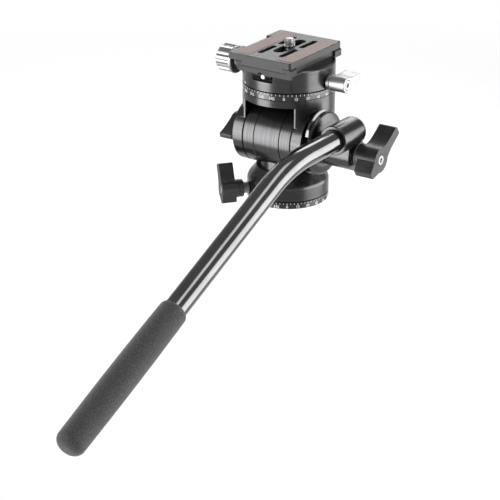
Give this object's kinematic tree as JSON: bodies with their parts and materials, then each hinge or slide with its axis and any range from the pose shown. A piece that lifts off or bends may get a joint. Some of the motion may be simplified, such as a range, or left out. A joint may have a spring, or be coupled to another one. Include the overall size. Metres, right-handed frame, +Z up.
{
  "type": "fluid video head",
  "caption": "Compact fluid video head with a pan base, damped tilt drum in a fork, panorama turntable, quick-release plate clamp and a bent pan handle with a foam grip.",
  "frame": {"origin": "pan axis at the foot of the base, the mouth of the tripod thread", "axes": "+Z up along the pan axis, +Y forwards along the lens, +X to the operator's right, the handle side"},
  "size_m": [0.1063, 0.2916, 0.1347],
  "materials": {
    "black_body": "satin",
    "black_trim": "satin",
    "black_knob": "matte",
    "tube": "gloss",
    "foam": "matte",
    "clamp_grey": "satin",
    "plate_grey": "satin",
    "pad_rubber": "matte",
    "silver": "satin",
    "steel": "satin",
    "brass": "satin",
    "nylon": "matte",
    "vial": "gloss"
  },
  "bodies": {
    "base": {"base_disc": "black_body", "tripod_bush": "steel", "pan_spindle": "steel", "pan_thrust_washer": "nylon", "pan_drag_washer": "nylon", "pan_nut": "steel"},
    "pan": {"pan_housing": "black_body", "drum_ring_left": "black_body", "drum_ring_right": "black_body", "tilt_bush_left": "brass", "tilt_bush_right": "brass", "damper_plates": "steel", "pan_lock_shoe": "brass"},
    "pan_lock": {"pan_lock_stud": "silver", "pan_lock_collar": "black_trim", "pan_lock_knob": "black_knob", "pan_lock_screw": "steel"},
    "tilt": {"tilt_fork": "black_body", "tilt_axle": "steel", "damper_rotor": "brass", "tilt_lock_spacer": "black_trim", "handle_boss": "black_body", "boss_screws": "steel", "rosette": "steel", "scale_ring": "black_body", "turntable_spindle": "steel", "turntable_washer": "nylon", "turntable_retainer": "steel", "retainer_screw": "steel"},
    "tilt_lock": {"tilt_lock_knob": "black_knob", "tilt_lock_screw": "steel"},
    "handle": {"handle_bracket": "black_body", "handle_grub_screw": "steel", "handle_tube": "tube", "handle_end_plug": "black_knob", "handle_grip": "foam"},
    "handle_lock": {"handle_knob_washer": "silver", "handle_knob_stud": "steel", "handle_knob": "black_knob", "handle_knob_screw": "silver"},
    "panorama": {"turntable": "black_body", "level_holder": "black_trim", "level_vial": "vial", "lever_shoe": "brass", "clamp_base": "clamp_grey", "clamp_base_screws": "steel", "jaw_guide_pins": "steel"},
    "panorama_lever": {"lever_stud": "steel", "lever_hub": "silver", "lever_wing": "silver", "lever_screw": "steel"},
    "jaw": {"moving_jaw": "black_trim"},
    "jaw_knob": {"clamp_collar": "silver", "clamp_screw": "steel", "clamp_knob": "silver"},
    "plate": {"quick_release_plate": "plate_grey", "plate_pads": "pad_rubber"},
    "camera_bolt": {"camera_screw": "silver"}
  },
  "joints": [
    {"name": "pan", "type": "hinge", "parent": "base", "child": "pan", "pos_m": [0, 0, 0.0082], "axis": [0, 0, 1], "continuous": true},
    {"name": "pan_lock_turn", "type": "hinge", "parent": "pan", "child": "pan_lock", "pos_m": [-0.01928, -0.02298, 0.0073], "axis": [-0.6428, -0.766, 0], "range_deg": [-60, 60]},
    {"name": "tilt", "type": "hinge", "parent": "pan", "child": "tilt", "pos_m": [0, -0.0052, 0.0402], "axis": [1, 0, 0], "range_deg": [-75, 65]},
    {"name": "tilt_lock_turn", "type": "hinge", "parent": "tilt", "child": "tilt_lock", "pos_m": [-0.03, -0.0052, 0.0402], "axis": [1, 0, 0], "range_deg": [-90, 90]},
    {"name": "handle_angle", "type": "hinge", "parent": "tilt", "child": "handle", "pos_m": [0.04, -0.0052, 0.0374], "axis": [1, 0, 0], "range_deg": [-25, 70]},
    {"name": "handle_lock_turn", "type": "hinge", "parent": "tilt", "child": "handle_lock", "pos_m": [0.058, -0.0052, 0.0374], "axis": [1, 0, 0], "range_deg": [-90, 90]},
    {"name": "panorama_turn", "type": "hinge", "parent": "tilt", "child": "panorama", "pos_m": [0, 0, 0.078], "axis": [0, 0, 1], "continuous": true},
    {"name": "panorama_lever_turn", "type": "hinge", "parent": "panorama", "child": "panorama_lever", "pos_m": [0.034, 0, 0.0757], "axis": [1, 0, 0], "range_deg": [-20, 80]},
    {"name": "jaw_slide", "type": "slide", "parent": "panorama", "child": "jaw", "axis": [-1, 0, 0], "range_m": [0, 0.0024]},
    {"name": "clamp_knob_turn", "type": "hinge", "parent": "jaw", "child": "jaw_knob", "pos_m": [-0.034, -0.0104, 0.0819], "axis": [1, 0, 0], "range_deg": [0, 1075]},
    {"name": "plate_slide", "type": "slide", "parent": "panorama", "child": "plate", "axis": [0, 1, 0], "range_m": [-0.012, 0.012]},
    {"name": "camera_screw_turn", "type": "hinge", "parent": "plate", "child": "camera_bolt", "pos_m": [0.0003, -0.00005, 0.0924], "axis": [0, 0, 1], "continuous": true}
  ],
  "couplings": [
    {"joint": "jaw_slide", "follows": "clamp_knob_turn", "m_per_rad": 0.00012732}
  ]
}
